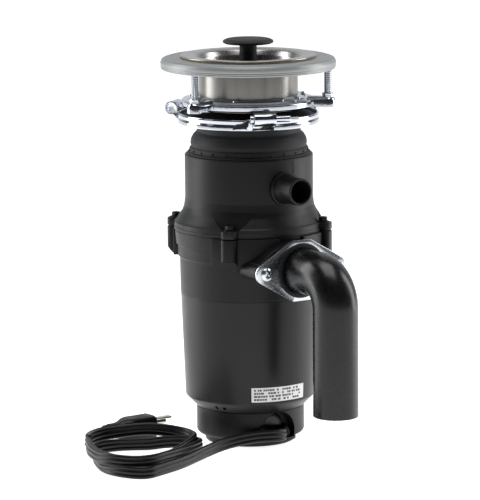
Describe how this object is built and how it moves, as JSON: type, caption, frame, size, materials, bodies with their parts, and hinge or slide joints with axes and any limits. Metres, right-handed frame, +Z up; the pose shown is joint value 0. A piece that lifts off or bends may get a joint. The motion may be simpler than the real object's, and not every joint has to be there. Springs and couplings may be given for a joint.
{
  "type": "kitchen garbage disposal",
  "caption": "Upright continuous-feed food waste disposer with motor, grinding chamber, sink mount, lift-out stopper, turnable discharge elbow and flat supply cord.",
  "frame": {"origin": "centre of the foot's underside, on the rotor's axis", "axes": "+Z up along the rotor's axis towards the sink flange, +X towards the discharge elbow and the dishwasher inlet"},
  "size_m": [0.225, 0.2614, 0.3485],
  "materials": {
    "moulded_black": "moulded, satin",
    "can_black": "smooth semi-gloss",
    "elbow_black": "glossy",
    "knob_black": "fine matte",
    "screw_black": "black oxide",
    "rubber_black": "matte rubber",
    "cord_black": "satin vinyl",
    "chrome": "bright chrome",
    "stainless": "drawn and brushed",
    "plated_steel": "dull plated",
    "zinc": "bright zinc",
    "nickel": "nickel plate",
    "fibre_brown": "pressed fibre",
    "label_white": "paper label",
    "cast_aluminium": "as cast",
    "bronze": "sintered",
    "copper": "enamelled wire",
    "iron_dark": "laminated or sintered",
    "phenolic": "phenolic board",
    "carbon": "carbon",
    "button_red": "moulded"
  },
  "bodies": {
    "disposer": {"end_cap": "moulded_black", "motor_can": "can_black", "label": "label_white", "lower_end_bell": "cast_aluminium", "upper_end_bell": "cast_aluminium", "lower_bushing": "bronze", "upper_bushing": "bronze", "shaft_seal": "rubber_black", "flux_ring": "plated_steel", "field_magnets": "iron_dark", "through_bolts": "plated_steel", "brush_plate": "phenolic", "brush_holders": "bronze", "brushes": "carbon", "brush_springs": "bronze", "grind_ring": "stainless", "lower_housing": "moulded_black", "housing_bands": "moulded_black", "hopper": "moulded_black", "chamber_gasket": "rubber_black", "housing_screws": "screw_black", "discharge_gasket": "rubber_black", "flange_plate": "zinc", "flange_screws": "zinc", "mount_cushion": "rubber_black", "splash_guard": "rubber_black", "base_screws": "plated_steel", "overload_protector": "phenolic", "rectifier": "phenolic", "cord_gland": "rubber_black", "cord_lead": "cord_black", "cord_coil": "cord_black", "cord_tail": "cord_black", "plug_cap": "cord_black", "plug_pins": "nickel"},
    "rotor": {"shaft": "plated_steel", "armature_core": "iron_dark", "armature_windings": "copper", "commutator": "copper", "turntable": "stainless", "turntable_nut": "stainless", "impeller_rivets": "stainless"},
    "swing_impeller_a": {"impeller_a": "stainless"},
    "swing_impeller_b": {"impeller_b": "stainless"},
    "sink_mount": {"sink_flange": "stainless", "fibre_gasket": "fibre_brown", "backup_ring": "plated_steel", "mounting_ring": "chrome", "mounting_screws": "zinc", "snap_ring": "plated_steel"},
    "locking_ring": {"lock_ring": "chrome", "clamp_bolt": "zinc"},
    "sink_stopper": {"stopper": "knob_black", "stopper_seal": "rubber_black"},
    "overload_button": {"reset_button": "button_red"},
    "discharge_elbow": {"elbow": "elbow_black"}
  },
  "joints": [
    {"name": "rotor_spin", "type": "hinge", "parent": "disposer", "child": "rotor", "pos_m": [0, 0, 0.1], "axis": [0, 0, 1], "continuous": true},
    {"name": "impeller_a_swing", "type": "hinge", "parent": "rotor", "child": "swing_impeller_a", "pos_m": [0.01026, 0.02819, 0.173], "axis": [0, 0, 1], "continuous": true},
    {"name": "impeller_b_swing", "type": "hinge", "parent": "rotor", "child": "swing_impeller_b", "pos_m": [-0.01026, -0.02819, 0.173], "axis": [0, 0, 1], "continuous": true},
    {"name": "mount_turn", "type": "hinge", "parent": "disposer", "child": "sink_mount", "pos_m": [0, 0, 0.29], "axis": [0, 0, 1], "continuous": true},
    {"name": "lock_turn", "type": "hinge", "parent": "sink_mount", "child": "locking_ring", "pos_m": [0, 0, 0.28], "axis": [0, 0, 1], "range_deg": [0, 35]},
    {"name": "stopper_lift", "type": "slide", "parent": "sink_mount", "child": "sink_stopper", "axis": [0, 0, 1], "range_m": [0, 0.08]},
    {"name": "reset_press", "type": "slide", "parent": "disposer", "child": "overload_button", "axis": [0, 0, 1], "range_m": [0, 0.003], "stiffness_N_per_m": 250},
    {"name": "elbow_turn", "type": "hinge", "parent": "disposer", "child": "discharge_elbow", "pos_m": [0.09, 0, 0.1586], "axis": [1, 0, 0], "range_deg": [-90, 90]}
  ]
}
